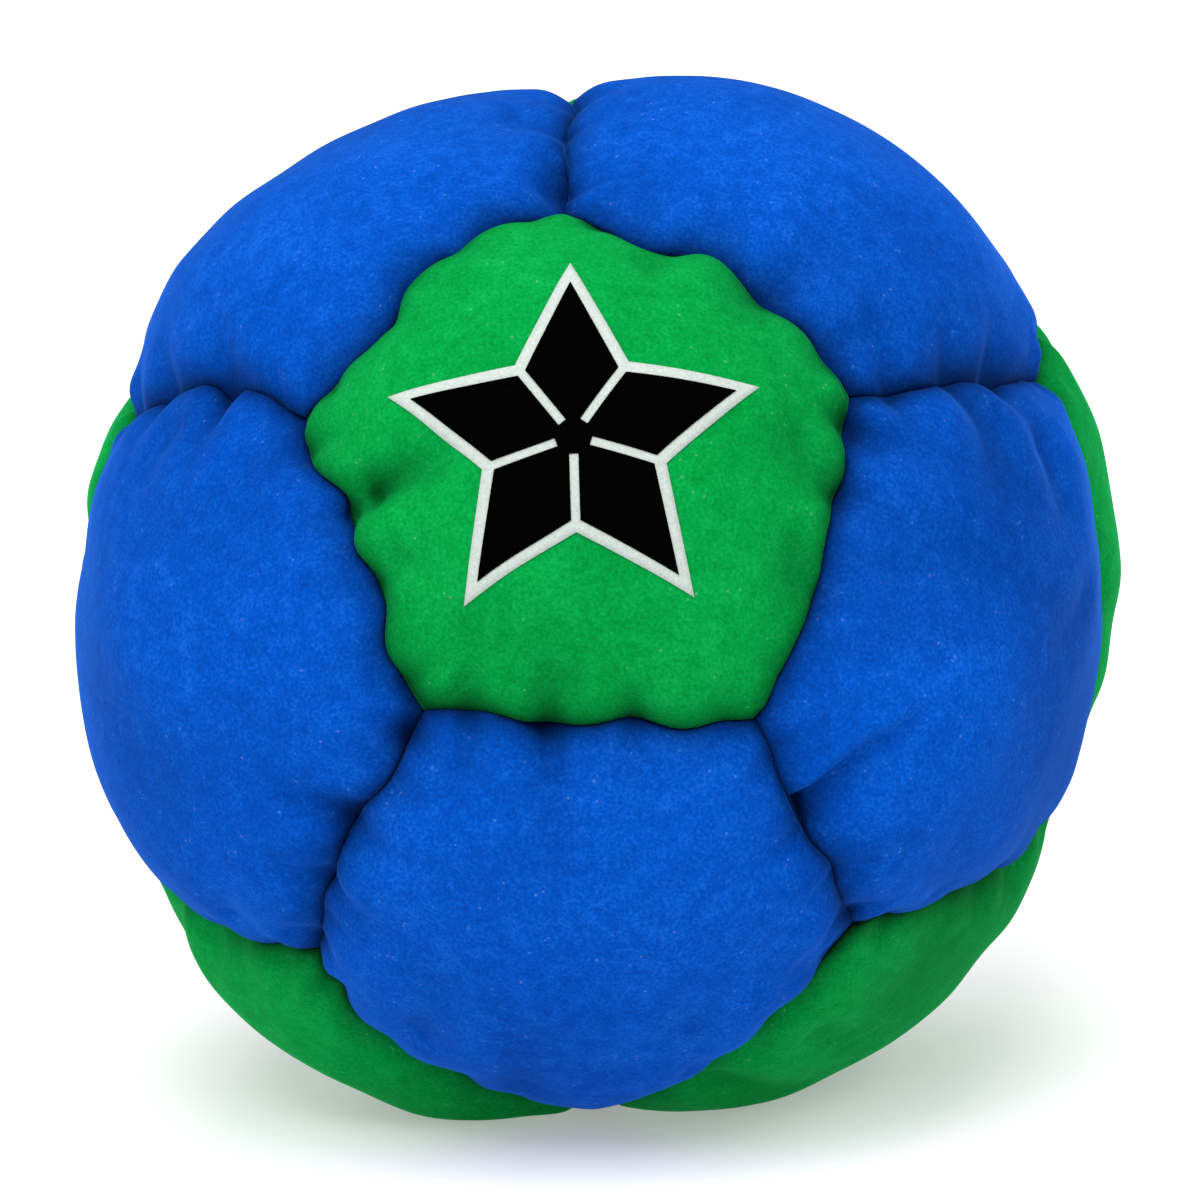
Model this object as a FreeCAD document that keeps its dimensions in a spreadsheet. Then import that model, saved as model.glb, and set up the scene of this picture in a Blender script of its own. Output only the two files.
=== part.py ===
import FreeCAD, Part
import math
import os

App = FreeCAD
Vec = App.Vector
os.makedirs("parts", exist_ok=True)
doc = App.newDocument("juggling_ball")

# ---------------------------------------------------------------- driving sizes
# A sewn ball of twelve suede panels. Lengths in mm, counts as counts.
DRIVING = {
    "crown_diameter": 60.0,      # across the crowns of two opposite panels
    "bulge_radius": 22.0,        # radius each stuffed panel bulges to
    "suede_thickness": 1.0,
    "rolled_edge": 1.6,          # outside radius where the suede rolls into a seam
    "ply_gap": 0.06,             # between the two plies of a seam
    "allowance_width": 5.4,      # how far the plies reach in from the seam line
    "settle_depth": 1.2,         # how far the lowest seam flattens on the table
    "thread_diameter": 0.5,
    "needle_clearance": 0.1,     # round the thread in its needle hole, and inside its bends
    "stitch_depth": 2.8,         # stitch line below the seam line
    "short_seam_holes": 4,       # seams that touch the front or the back panel, and spokes
    "belt_seam_holes": 5,        # seams of the zigzag belt
    "corner_clearance": 2.0,     # from a seam's last hole to the corner
    "knot_diameter": 1.0,
    "stitch_clearance": 0.05,    # thread to suede, knot to suede
    "liner_thickness": 0.3,
    "liner_clearance": 0.1,      # liner to suede and to knots
    "liner_root_gap": 0.4,       # liner below the ends of the plies
    "lobe_edge": 1.2,
    "sand_clearance": 0.05,
    "sand_headspace": 11.0,      # settled top of the sand below the ball's highest point
    "print_radius": 9.3,
    "print_outline": 0.6,
    "print_slit": 0.5,
    "print_thickness": 0.1,
    "print_clearance": 0.01,
}
sizes = doc.addObject("Spreadsheet::Sheet", "Sizes")
for row, (name, value) in enumerate(DRIVING.items(), 1):
    sizes.set(f"A{row}", name)
    sizes.set(f"B{row}", str(value))
    sizes.setAlias(f"B{row}", name)
doc.recompute()


def size(name):
    return float(sizes.get(name))


# ---------------------------------------------------------------- derived sizes
derived = doc.addObject("App::VarSet", "Derived")


def derive(kind, name, expression):
    derived.addProperty("App::Property" + kind, name, "Derived", "")
    derived.setExpression(name, expression)


# angles of a dodecahedron: middle of a panel to middle of a seam, and half a seam
derive("Angle", "seam_tilt", "atan((sqrt(5) - 1) / 2)")
derive("Angle", "half_seam", "asin((sqrt(5) - 1) / (2 * sqrt(3)))")
derive("Length", "bulge_centre", "(Sizes.crown_diameter / 2 - Sizes.bulge_radius) * 1mm")
derive("Length", "seam_crown",
       "bulge_centre * cos(seam_tilt) + Sizes.bulge_radius * 1mm")
derive("Length", "seam_line", "bulge_centre * cos(seam_tilt) + sqrt((Sizes.bulge_radius * 1mm)^2"
       " - (bulge_centre * sin(seam_tilt))^2)")
derive("Length", "rest_height", "seam_crown - Sizes.settle_depth * 1mm")
derive("Length", "allowance_end", "seam_line - Sizes.allowance_width * 1mm")
derive("Length", "stitch_radius", "seam_line - Sizes.stitch_depth * 1mm")
derive("Length", "half_gap", "Sizes.ply_gap * 0.5mm")
derive("Length", "ply_inside", "half_gap + Sizes.suede_thickness * 1mm")
derive("Length", "needle_radius", "Sizes.thread_diameter * 0.5mm + Sizes.needle_clearance * 1mm")
derive("Length", "thread_offset",
       "ply_inside + Sizes.thread_diameter * 0.5mm + Sizes.stitch_clearance * 1mm")
derive("Length", "knot_offset",
       "ply_inside + Sizes.knot_diameter * 0.5mm + Sizes.stitch_clearance * 1mm")
derive("Length", "liner_side",
       "knot_offset + Sizes.knot_diameter * 0.5mm + Sizes.liner_clearance * 1mm")
derive("Length", "liner_core", "allowance_end - Sizes.liner_root_gap * 1mm")
derive("Length", "sand_level", "Sizes.crown_diameter * 0.5mm - Sizes.sand_headspace * 1mm")
doc.recompute()

tilt = math.radians(derived.seam_tilt.Value)
rest_height = derived.rest_height.Value
half_seam = math.radians(derived.half_seam.Value)
stitch_radius = derived.stitch_radius.Value

# ---------------------------------------------------------------- twelve panels
PHI = (1 + math.sqrt(5)) / 2
AXES = {
    "panel_front": (0, -PHI, 1),
    "panel_upper_left": (-1, 0, PHI),
    "panel_upper_right": (1, 0, PHI),
    "panel_left": (-PHI, -1, 0),
    "panel_right": (PHI, -1, 0),
    "panel_lower": (0, -PHI, -1),
    "panel_base_left": (-1, 0, -PHI),
    "panel_base_right": (1, 0, -PHI),
    "panel_rear_left": (-PHI, 1, 0),
    "panel_rear_right": (PHI, 1, 0),
    "panel_top_rear": (0, PHI, 1),
    "panel_back": (0, PHI, -1),
}
AXES = {name: Vec(*axis).normalize() for name, axis in AXES.items()}
RING = ("panel_upper_left", "panel_upper_right", "panel_left", "panel_right", "panel_lower")
BASE = ("panel_base_left", "panel_base_right")


def turn_of(name):
    """Own Z along the panel's axis, own X towards the hub panel it is sewn to."""
    z = AXES[name]
    if name == "panel_front":
        hub = AXES["panel_upper_left"]
    elif name == "panel_back":
        hub = AXES["panel_top_rear"]
    else:
        hub = AXES["panel_front" if name in RING else "panel_back"]
    x = (hub - z * hub.dot(z)).normalize()
    return App.Rotation(x, z.cross(x), z, "ZXY")


TURN = {name: turn_of(name) for name in AXES}


def set_down(turn=None):
    return App.Placement(Vec(0, 0, rest_height), turn or App.Rotation())


# ---------------------------------------------------------------- panel bodies
def origin_feature(body, role):
    return next(f for f in body.Origin.OriginFeatures if f.Role == role)


def primitive(body, kind, name, offset, **values):
    """One additive or subtractive primitive, its sizes given as numbers or expressions."""
    feature = body.newObject("PartDesign::" + kind, name)
    feature.AttachmentSupport = [(origin_feature(body, "XY_Plane"), "")]
    feature.MapMode = "FlatFace"
    feature.AttachmentOffset = offset
    for key, value in values.items():
        path = "AttachmentOffset.Base." + key if key in "xyz" else key
        if isinstance(value, str):
            feature.setExpression(path, value)
        else:
            setattr(feature, key, value)
    return feature


SPHERE_TURN = App.Rotation(Vec(0, 1, 0), 90)     # keeps the sphere's poles off the panel
BLOCK = 80.0                                     # side of the blocks that cut a flat


def flat_cut(body, name, direction, distance):
    """A block whose near face lies square to direction, distance out from the centre."""
    turn = App.Rotation(Vec(0, 0, 1), direction)
    corner = turn.multVec(Vec(-BLOCK / 2, -BLOCK / 2, 0))
    where = {axis: f"({distance}) * {getattr(direction, axis):.9f} + {getattr(corner, axis):.6f} mm"
             for axis in "xyz"}
    return primitive(body, "SubtractiveBox", name, App.Placement(corner, turn),
                     Length=BLOCK, Width=BLOCK, Height=BLOCK, **where)


def bulge_body(name, radius, side, core, edge, floor=None, floor_side=0.0, holes=(),
               sharp_floor=False):
    """Wedge of the ball under one panel: bulging top, five flat sides, round root.

    radius, side, core, edge and floor are expressions. holes lists
    (hole count, seam azimuths) groups of needle holes. A sharp floor is cut
    after the edges are rolled.
    """
    body = doc.addObject("PartDesign::Body", name)
    dome = primitive(body, "AdditiveSphere", "dome", App.Placement(Vec(), SPHERE_TURN),
                     Radius=radius, z="Derived.bulge_centre")
    seam_normal = Vec(math.cos(tilt), 0, -math.sin(tilt))
    one_side = flat_cut(body, "seam_side", seam_normal, "-1 * (" + side + ")")
    sides = body.newObject("PartDesign::PolarPattern", "seam_sides")
    sides.Originals = [one_side]
    sides.Axis = (origin_feature(body, "Z_Axis"), [""])
    sides.Angle = 360
    sides.Occurrences = 5
    body.Tip = sides
    floor_normal = None
    if floor:
        turn = math.radians(floor_side)
        floor_normal = Vec(math.sin(tilt) * math.cos(turn), math.sin(tilt) * math.sin(turn),
                           math.cos(tilt))
        if not sharp_floor:
            flat_cut(body, "floor_flat", floor_normal, floor)
    root = primitive(body, "SubtractiveSphere", "root", App.Placement(Vec(), SPHERE_TURN),
                     Radius=core)
    doc.recompute()

    # every edge is rolled except those of the root and of the flat's own bulge line
    radius_now, core_now = dome.Radius.Value, root.Radius.Value
    shape = root.Shape
    picked = []
    for number, line in enumerate(shape.Edges, 1):
        faces = [f for f in shape.Faces if any(g.isSame(line) for g in f.Edges)]
        spheres = [f.Surface.Radius for f in faces if isinstance(f.Surface, Part.Sphere)]
        on_dome = any(abs(r - radius_now) < 1e-6 for r in spheres)
        on_root = any(abs(r - core_now) < 1e-6 for r in spheres) and not on_dome
        on_flat = floor_normal and not sharp_floor and any(
            isinstance(f.Surface, Part.Plane)
            and abs(abs(f.normalAt(0, 0).dot(floor_normal)) - 1) < 1e-6 for f in faces)
        if not on_root and not (on_dome and on_flat):
            picked.append(f"Edge{number}")
    rolled = body.newObject("PartDesign::Fillet", "rolled_edges")
    rolled.Base = (root, picked)
    rolled.setExpression("Radius", edge)
    if floor and sharp_floor:
        flat_cut(body, "floor_flat", floor_normal, floor)
    doc.recompute()

    reach = half_seam - size("corner_clearance") / stitch_radius
    for count, azimuths in holes:
        for azimuth in azimuths:
            around = App.Rotation(Vec(0, 0, 1), azimuth)
            inward = around.multVec(seam_normal) * -1
            for step in range(count):
                angle = -reach + 2 * reach * step / (count - 1)
                centre = around.multVec(Vec(math.sin(tilt) * math.cos(angle), math.sin(angle),
                                            math.cos(tilt) * math.cos(angle)))
                start = {axis: f"Derived.stitch_radius * {getattr(centre, axis):.9f}"
                               f" - Sizes.suede_thickness * ({getattr(inward, axis) / 2:.9f}) * 1mm"
                         for axis in "xyz"}
                primitive(body, "SubtractiveCylinder", f"needle_{azimuth + 360}_{step}",
                          App.Placement(Vec(), App.Rotation(Vec(0, 0, 1), inward)),
                          Radius="Derived.needle_radius",
                          Height="Sizes.suede_thickness * 2mm", **start)
    doc.recompute()
    return body


SHORT = int(size("short_seam_holes"))
BELT = int(size("belt_seam_holes"))
SKIN_OUT = ("Sizes.bulge_radius * 1mm", "Derived.half_gap", "Derived.allowance_end",
            "Sizes.rolled_edge * 1mm")
SKIN_IN = ("(Sizes.bulge_radius - Sizes.suede_thickness) * 1mm", "Derived.ply_inside",
           "Derived.allowance_end - 2mm",
           "(Sizes.rolled_edge - Sizes.suede_thickness) * 1mm")
FLOOR_OUT = "Derived.rest_height"
FLOOR_IN = "Derived.rest_height - Sizes.suede_thickness * 1mm"
HUB_HOLES = ((SHORT, (0, 72, 144, 216, 288)),)
SIDE_HOLES = ((SHORT, (-72, 0, 72)), (BELT, (144, 216)))


def floor_turn(name):
    """Azimuth, in the panel's own frame, of the seam the ball rests on."""
    down = TURN[name].inverted().multVec(Vec(0, 0, -1))
    return math.degrees(math.atan2(down.y, down.x))


outer_hub = bulge_body("outer_hub", *SKIN_OUT, holes=HUB_HOLES)
outer_side = bulge_body("outer_side", *SKIN_OUT, holes=SIDE_HOLES)
inner = bulge_body("inner", *SKIN_IN)
pairs = {name: (outer_hub if name in ("panel_front", "panel_back") else outer_side, inner)
         for name in AXES}
for name in BASE:
    pairs[name] = (
        bulge_body("outer_" + name, *SKIN_OUT, FLOOR_OUT, floor_turn(name), SIDE_HOLES),
        bulge_body("inner_" + name, *SKIN_IN, FLOOR_IN, floor_turn(name)))

nodes = []


def node(obj, label, placement=None):
    obj.Label = label
    if placement is not None:
        obj.Placement = placement
    nodes.append(obj)
    return obj


# each panel: a suede pentagon bulged by the filling, its edges turned in to the plies
for name in AXES:
    skin = doc.addObject("Part::Cut", "cut_" + name)
    skin.Base, skin.Tool = pairs[name]
    node(skin, name, set_down(TURN[name]))
doc.recompute()


# ---------------------------------------------------------------- sewing threads
def corner_of(*names):
    return sum((AXES[n] for n in names), Vec()).normalize()


def holes_on(seam, start, end, count):
    """Hole centres along one seam from corner start to corner end."""
    first, second = seam
    middle = (AXES[first] + AXES[second]).normalize()
    along = (end - start).normalize()
    radius = stitch_radius
    reach = half_seam - size("corner_clearance") / radius
    spots = []
    for step in range(count):
        angle = -reach + 2 * reach * step / (count - 1)
        spots.append(middle * (radius * math.cos(angle)) + along * (radius * math.sin(angle)))
    return spots


def towards(name, seam):
    other = seam[1] if name == seam[0] else seam[0]
    return (AXES[name] - AXES[other]).normalize()


def stitch_points(legs, closed):
    """Centre line of a running stitch.

    legs lists (seam, start corner, end corner, hole count, panel it starts in).
    """
    offset = derived.thread_offset.Value
    points = []
    ends_in = None
    for index, (seam, start, end, count, side) in enumerate(legs):
        if ends_in:
            assert ends_in == side, (seam, ends_in, side)
        if index or closed:
            before = legs[index - 1][0]
            one, two = towards(side, before), towards(side, seam)
            points.append(start * stitch_radius
                          + (one + two) * (offset / (1 + one.dot(two))))
        for spot in holes_on(seam, start, end, count):
            points.append(spot + towards(side, seam) * offset)
            side = seam[1] if side == seam[0] else seam[0]
            points.append(spot + towards(side, seam) * offset)
        ends_in = side
    if not closed:
        extra = derived.knot_offset.Value - offset
        points[0] += towards(legs[0][4], legs[0][0]) * extra
        points[-1] += towards(ends_in, legs[-1][0]) * extra
    return points


def rounded_wire(points, bend, closed):
    """Straight runs joined by tangent arcs of one radius."""
    count = len(points)
    turns = []
    for i, here in enumerate(points):
        if not closed and i in (0, count - 1):
            turns.append((here, None, here))
            continue
        a = (points[i - 1] - here).normalize()
        b = (points[(i + 1) % count] - here).normalize()
        half = a.getAngle(b) / 2
        reach = bend / math.tan(half)
        inside = (a + b).normalize()
        middle = here + inside * (bend / math.sin(half) - bend)
        turns.append((here + a * reach, middle, here + b * reach))
    edges = []
    for i, (enter, middle, leave) in enumerate(turns):
        if middle is not None:
            edges.append(Part.Arc(enter, middle, leave).toShape())
        if i + 1 < count or closed:
            ahead = turns[(i + 1) % count][0]
            edges.append(Part.makeLine(leave, ahead))
    if not closed:
        return Part.Wire(edges)
    first = edges.pop()                         # start part-way along a straight run
    a, b = (v.Point for v in (first.Vertexes[0], first.Vertexes[-1]))
    half_way = (a + b) / 2
    return Part.Wire([Part.makeLine(half_way, b)] + edges + [Part.makeLine(a, half_way)])


def thread(label, legs, closed=False):
    points = stitch_points(legs, closed)
    path = doc.addObject("Part::Feature", label + "_path")
    path.Shape = rounded_wire(points, derived.needle_radius.Value, closed)
    first = path.Shape.Edges[0]
    section = doc.addObject("Part::Circle", label + "_section")
    section.setExpression("Radius", "Sizes.thread_diameter * 0.5mm")
    section.Placement = App.Placement(first.valueAt(first.FirstParameter), App.Rotation(
        Vec(0, 0, 1), first.tangentAt(first.FirstParameter)))
    run = doc.addObject("Part::Sweep", label + "_run")
    run.Sections = [section]
    run.Spine = (path, [f"Edge{i + 1}" for i in range(len(path.Shape.Edges))])
    run.Solid = True
    run.Frenet = False
    if closed:
        return node(run, label, set_down())
    knots = []
    for tail, spot, after in (("start", points[0], points[1]), ("end", points[-1], points[-2])):
        knot = doc.addObject("Part::Sphere", f"{label}_{tail}_knot")
        knot.setExpression("Radius", "Sizes.knot_diameter * 0.5mm")
        knot.Placement = App.Placement(spot, App.Rotation(Vec(-1, 0, 0), after - spot))
        knots.append(knot)
    whole = doc.addObject("Part::MultiFuse", label + "_whole")
    whole.Shapes = [run] + knots
    return node(whole, label, set_down())


def ring_legs(hub, around):
    """Seams of a hub panel in order, sewn from inside the hub."""
    legs = []
    for i, name in enumerate(around):
        before, after = around[i - 1], around[(i + 1) % len(around)]
        legs.append(((hub, name), corner_of(hub, before, name), corner_of(hub, name, after),
                     SHORT, hub))
    return legs


front_round = ("panel_upper_left", "panel_upper_right", "panel_right", "panel_lower",
               "panel_left")
rear_round = ("panel_top_rear", "panel_rear_right", "panel_base_right", "panel_base_left",
              "panel_rear_left")
thread("thread_front_ring", ring_legs("panel_front", front_round), closed=True)

# outer neighbour shared by two panels next to each other in the front round
beyond = {0: "panel_top_rear", 1: "panel_rear_right", 2: "panel_base_right",
          3: "panel_base_left", 4: "panel_rear_left"}
SPOKE_NAMES = ("top", "upper_right", "lower_right", "lower_left", "upper_left")
for i, tag in enumerate(SPOKE_NAMES):
    one, two = front_round[i], front_round[(i + 1) % 5]
    thread("thread_front_spoke_" + tag,
           [((one, two), corner_of("panel_front", one, two), corner_of(one, two, beyond[i]),
             SHORT, one)])

# the zigzag belt: each front-round panel meets two rear-round panels
belt = []
for i in range(5):
    one, two = front_round[i], front_round[(i + 1) % 5]
    rear, ahead = beyond[i], beyond[(i + 1) % 5]
    turn_front = corner_of(one, two, rear)
    belt.append(((one, rear), corner_of(one, beyond[(i - 1) % 5], rear), turn_front, BELT, one))
    belt.append(((two, rear), turn_front, corner_of(two, rear, ahead), BELT, rear))
thread("thread_belt", belt, closed=True)

for i in range(5):
    one, two = rear_round[i], rear_round[(i + 1) % 5]
    shared = front_round[(i + 1) % 5]
    thread("thread_rear_spoke_" + ("top_right", "right", "base", "left", "top_left")[i],
           [((one, two), corner_of("panel_back", one, two), corner_of(one, two, shared),
             SHORT, one)])

rear_ring = ring_legs("panel_back", rear_round)
thread("thread_rear_ring", rear_ring[1:])
thread("thread_closing_seam", rear_ring[:1])
doc.recompute()


# ---------------------------------------------------------------- liner and sand
def lobed(name, inset):
    """The stuffed inside: a round core with one lobe pressed into every panel."""
    gap = f"(Sizes.liner_clearance + {inset}) * 1mm"
    radius = f"(Sizes.bulge_radius - Sizes.suede_thickness) * 1mm - {gap}"
    side = f"Derived.liner_side + ({inset}) * 1mm"
    floor = f"Derived.rest_height - Sizes.suede_thickness * 1mm - {gap}"
    edge = f"(Sizes.lobe_edge - ({inset})) * 1mm"
    core = doc.addObject("Part::Sphere", name + "_core")
    core.setExpression("Radius", f"Derived.liner_core - ({inset}) * 1mm")
    lobes = [core]
    for panel in AXES:
        low = (floor, floor_turn(panel)) if panel in BASE else ()
        lobe = bulge_body(f"{name}_{panel}", radius, side, "Derived.liner_core / 2", edge, *low,
                          sharp_floor=True)
        lobe.Placement = App.Placement(Vec(), TURN[panel])
        lobes.append(lobe)
    whole = doc.addObject("Part::MultiFuse", name)
    whole.Shapes = lobes
    return whole


liner_out = lobed("liner_out", "0")
liner_in = lobed("liner_in", "Sizes.liner_thickness")
sand_out = lobed("sand_out", "Sizes.liner_thickness + Sizes.sand_clearance")
liner_all = doc.addObject("Part::Cut", "liner_all")
liner_all.Base, liner_all.Tool = liner_out, liner_in
for label, low in (("liner_front", -100.0), ("liner_rear", 0.01)):
    half_space = doc.addObject("Part::Box", label + "_side")
    half_space.Length, half_space.Width, half_space.Height = 200, 99.99, 200
    half_space.Placement.Base = Vec(-100, low, -100)
    half = doc.addObject("Part::Common", label + "_half")
    half.Base, half.Tool = liner_all, half_space
    node(half, label, set_down())

air = doc.addObject("Part::Box", "air_gap")
air.Length, air.Width, air.Height = 200, 200, 100
air.Placement.Base = Vec(-100, -100, 0)
air.setExpression("Placement.Base.z", "Derived.sand_level")
sand = doc.addObject("Part::Cut", "sand_settled")
sand.Base, sand.Tool = sand_out, air
node(sand, "sand_filling", set_down())
doc.recompute()


# ---------------------------------------------------------------- printed star
def star_points(tip, waist, slit=0.0, slit_root=1.0):
    """Five-pointed outline; with a slit, each inner corner is cut towards the middle."""
    points = []
    up = TURN["panel_front"].inverted().multVec(Vec(0, 0, 1))
    first = math.atan2(up.y, up.x)
    for i in range(5):
        at = first + math.radians(72 * i)
        points.append(Vec(tip * math.cos(at), tip * math.sin(at), 0))
        at += math.radians(36)
        out, across = Vec(math.cos(at), math.sin(at), 0), Vec(-math.sin(at), math.cos(at), 0)
        if slit:
            for radius, sign in ((waist, -1), (slit_root, -1), (slit_root, 1), (waist, 1)):
                points.append(out * radius + across * (sign * slit / 2))
        else:
            points.append(out * waist)
    return points + points[:1]


def film(label, points, level):
    """A thin print: the outline pushed through a thin round shell on the front panel."""
    outline = doc.addObject("Part::Feature", label + "_outline")
    outline.Shape = Part.Face(Part.makePolygon(points))
    prism = doc.addObject("Part::Extrusion", label + "_prism")
    prism.Base = outline
    prism.DirMode = "Custom"
    prism.Dir = Vec(0, 0, 1)
    prism.LengthFwd = BLOCK
    prism.Solid = True
    shells = []
    for tail, depth in (("outside", level + 1), ("inside", level)):
        ball = doc.addObject("Part::Sphere", f"{label}_{tail}")
        ball.setExpression("Radius", "(Sizes.bulge_radius + Sizes.print_clearance"
                                     f" + Sizes.print_thickness * {depth}) * 1mm")
        ball.Placement.Rotation = SPHERE_TURN
        ball.setExpression("Placement.Base.z", "Derived.bulge_centre")
        shells.append(ball)
    shell = doc.addObject("Part::Cut", label + "_shell")
    shell.Base, shell.Tool = shells
    layer = doc.addObject("Part::Common", label + "_layer")
    layer.Base, layer.Tool = prism, shell
    node(layer, label, set_down(TURN["panel_front"]))


tip, rim = size("print_radius"), size("print_outline")
waist = tip * 0.5
film("print_underbase", star_points(tip + rim * 2.2, waist + rim), 0)
film("print_star", star_points(tip, waist, size("print_slit")), 1.1)
doc.recompute()

# ---------------------------------------------------------------- soundness and export
for obj in doc.Objects:
    if "Invalid" in obj.State or "Error" in obj.State:
        raise SystemExit(f"{obj.Label} did not compute: {obj.State}")
for obj in nodes:
    shape = obj.Shape
    if shape.isNull() or not shape.isValid() or len(shape.Solids) != 1:
        raise SystemExit(f"{obj.Label} is not one sound solid")
for obj in nodes:
    obj.Shape.exportStep(os.path.join("parts", obj.Label + ".step"))
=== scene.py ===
import math
import random
from itertools import combinations

import bpy
import numpy as np
from mathutils import Matrix, Vector
from mathutils.bvhtree import BVHTree


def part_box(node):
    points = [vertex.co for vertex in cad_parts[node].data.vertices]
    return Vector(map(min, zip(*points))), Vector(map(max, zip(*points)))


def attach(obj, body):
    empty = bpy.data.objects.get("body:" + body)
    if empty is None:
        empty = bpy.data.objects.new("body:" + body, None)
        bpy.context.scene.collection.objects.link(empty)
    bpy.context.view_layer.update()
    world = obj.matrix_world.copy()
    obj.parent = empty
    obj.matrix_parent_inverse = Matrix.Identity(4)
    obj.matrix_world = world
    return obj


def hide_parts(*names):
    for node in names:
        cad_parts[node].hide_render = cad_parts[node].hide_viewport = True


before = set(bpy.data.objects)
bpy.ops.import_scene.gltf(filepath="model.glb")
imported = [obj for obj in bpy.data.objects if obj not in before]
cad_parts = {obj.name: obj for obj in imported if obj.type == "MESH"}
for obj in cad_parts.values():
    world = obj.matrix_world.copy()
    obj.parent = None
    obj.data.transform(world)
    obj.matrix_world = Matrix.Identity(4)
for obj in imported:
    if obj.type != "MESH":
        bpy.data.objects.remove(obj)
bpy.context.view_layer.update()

# ------------------------------------------------------------------ suede panels
# Twelve equal five-sided pieces of 1 mm suede, cut flat, sewn edge to edge with the
# allowances turned in and blown round by the filling. The thread gathers the edges, so
# the seams waver and dimple, and folds run from them into the panels.
MM = 0.001
PHI = (1 + math.sqrt(5)) / 2
PANELS = {
    "front": (0, -PHI, 1), "upper_left": (-1, 0, PHI), "upper_right": (1, 0, PHI),
    "left": (-PHI, -1, 0), "right": (PHI, -1, 0), "lower": (0, -PHI, -1),
    "base_left": (-1, 0, -PHI), "base_right": (1, 0, -PHI), "rear_left": (-PHI, 1, 0),
    "rear_right": (PHI, 1, 0), "top_rear": (0, PHI, 1), "back": (0, PHI, -1),
}
AXES = {name: np.array(a) / np.linalg.norm(a) for name, a in PANELS.items()}
BLUE = ("upper_left", "upper_right", "left", "right", "lower", "back")
FRONT_HALF = ("front", "upper_left", "upper_right", "left", "right", "lower")
REST_HEIGHT = 27.606            # the ball's centre above the table
CENTRE = np.array([0, 0, REST_HEIGHT])
TILT = math.atan(1 / PHI)       # middle of a panel to middle of its seam
BULGE_RADIUS, BULGE_CENTRE = 22.0, 8.0
ROLL = 1.5                      # radius of the rolled edge
HALF_GAP = 0.04                 # half the room between two neighbouring panels
STITCH_LINE = 25.4              # where the plies are sewn, from the ball's centre
PLY_END = 24.3                  # where the turned-in allowances end
SUEDE = 0.7                     # pressed between the stitches


def ease(x):
    """Rises smoothly from 0 to 1."""
    x = np.clip(x, 0, 1)
    return x * x * (3 - 2 * x)


# Profile from the middle of a panel, over the rolled edge and down the ply, in the
# plane square to a seam: (along the seam's own radius, square to the seam).
hub = np.array([BULGE_CENTRE * math.cos(TILT), BULGE_CENTRE * math.sin(TILT)])
roll_up = hub[0] + math.sqrt((BULGE_RADIUS - ROLL) ** 2 - (HALF_GAP + ROLL - hub[1]) ** 2)
roll_hub = np.array([roll_up, HALF_GAP + ROLL])
leave = (roll_hub - hub) / (BULGE_RADIUS - ROLL)
from_axis = math.acos(leave @ np.array([math.cos(TILT), math.sin(TILT)]))
roll_sweep = math.acos(-leave[1]) if leave[1] < 0 else math.pi / 2
dome_run = BULGE_RADIUS * from_axis
roll_run = ROLL * roll_sweep
ply_run = roll_up - PLY_END


def profile(share):
    """Point of the profile at this share of the way from the middle to the ply's end."""
    run = share * (dome_run + roll_run + ply_run)
    angle = TILT - np.clip(run, 0, dome_run) / BULGE_RADIUS
    dome = hub + BULGE_RADIUS * np.stack([np.cos(angle), np.sin(angle)], -1)
    at = math.atan2(leave[1], leave[0]) - np.clip(run - dome_run, 0, roll_run) / ROLL
    rolled = roll_hub + ROLL * np.stack([np.cos(at), np.sin(at)], -1)
    ply = np.stack([roll_up - np.clip(run - dome_run - roll_run, 0, ply_run),
                    np.full_like(run, HALF_GAP)], -1)
    on_roll = (run > dome_run)[:, None]
    on_ply = (run > dome_run + roll_run)[:, None]
    return np.where(on_ply, ply, np.where(on_roll, rolled, dome))


def dome_radius(cosine):
    """Distance from the ball's centre to the smooth bulge, at this angle from its axis."""
    return BULGE_CENTRE * cosine + np.sqrt(BULGE_RADIUS ** 2 - BULGE_CENTRE ** 2
                                           * (1 - cosine ** 2))


# One flat pentagon, divided into a fine grid, closer towards its edges.
bpy.ops.object.select_all(action="DESELECT")
bpy.ops.mesh.primitive_circle_add(vertices=5, radius=1 / math.cos(math.radians(36)),
                                  fill_type="NGON", location=(0, 0, 0))
blank = bpy.context.object
grid = blank.modifiers.new("grid", "SUBSURF")
grid.subdivision_type = "SIMPLE"
grid.levels = grid.render_levels = 5
bpy.ops.object.modifier_apply(modifier="grid")
flat = np.array([v.co[:2] for v in blank.data.vertices])
turn = math.radians(-90 + 36)
flat = flat @ np.array([[math.cos(turn), math.sin(turn)], [-math.sin(turn), math.cos(turn)]])
reach = np.clip((flat @ np.array([[math.cos(a), math.sin(a)] for a in
                                  (math.tau * i / 5 for i in range(5))]).T).max(1), 1e-6, 1)
rim_points = flat / reach[:, None]
share = 1 - (1 - reach) ** 1.3


def bulged(extra):
    """The panel's points when sewn. The extra share widens the cloth towards its rim."""
    across = profile(share)
    wide = across[:, 0] * math.sin(TILT) - across[:, 1] * math.cos(TILT)
    high = across[:, 0] * math.cos(TILT) + across[:, 1] * math.sin(TILT)
    away = np.column_stack([rim_points * wide[:, None], high])
    away /= np.linalg.norm(away, axis=1)[:, None]
    middle_len = np.hypot(wide, high)
    drop = dome_radius(high / middle_len) - middle_len
    points = away * (dome_radius(away[:, 2]) - drop)[:, None]
    points[:, :2] *= (1 + extra * ease((share - 0.45) / 0.45))[:, None]
    return points


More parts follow.
